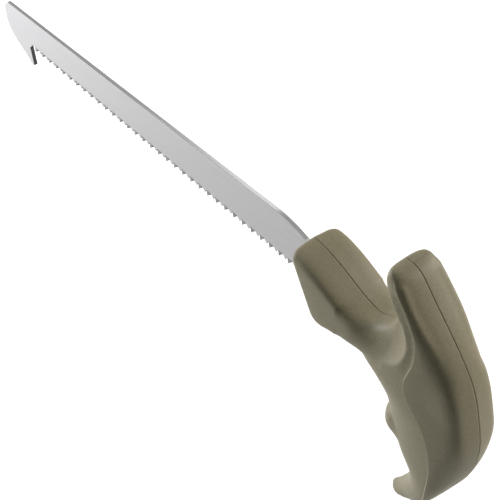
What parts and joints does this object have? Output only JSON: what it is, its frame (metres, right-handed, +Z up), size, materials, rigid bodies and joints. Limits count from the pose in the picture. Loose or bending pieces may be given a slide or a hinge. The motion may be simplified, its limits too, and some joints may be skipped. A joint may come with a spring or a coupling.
{
  "type": "game saw",
  "caption": "Fixed-blade game saw: a straight toothed steel blade with a barbed tip, set in a moulded T-shaped handle of two screwed halves.",
  "frame": {"origin": "middle of the grip, in the plane of the blade", "axes": "+X from the blade's tip towards the heel of the hand, along the spine; +Y to the right side; +Z up, with the spine on top and the teeth below"},
  "size_m": [0.3276, 0.0288, 0.1296],
  "materials": {
    "blade_steel": "satin stainless steel",
    "handle_plastic": "fine-grained olive drab moulding",
    "screw_zinc": "zinc-plated"
  },
  "bodies": {
    "root": {"saw_blade": "blade_steel", "handle_left_shell": "handle_plastic", "handle_right_shell": "handle_plastic", "shell_screw_1": "screw_zinc", "shell_screw_2": "screw_zinc", "shell_screw_3": "screw_zinc", "shell_screw_4": "screw_zinc", "shell_screw_5": "screw_zinc", "shell_screw_6": "screw_zinc"}
  },
  "joints": []
}
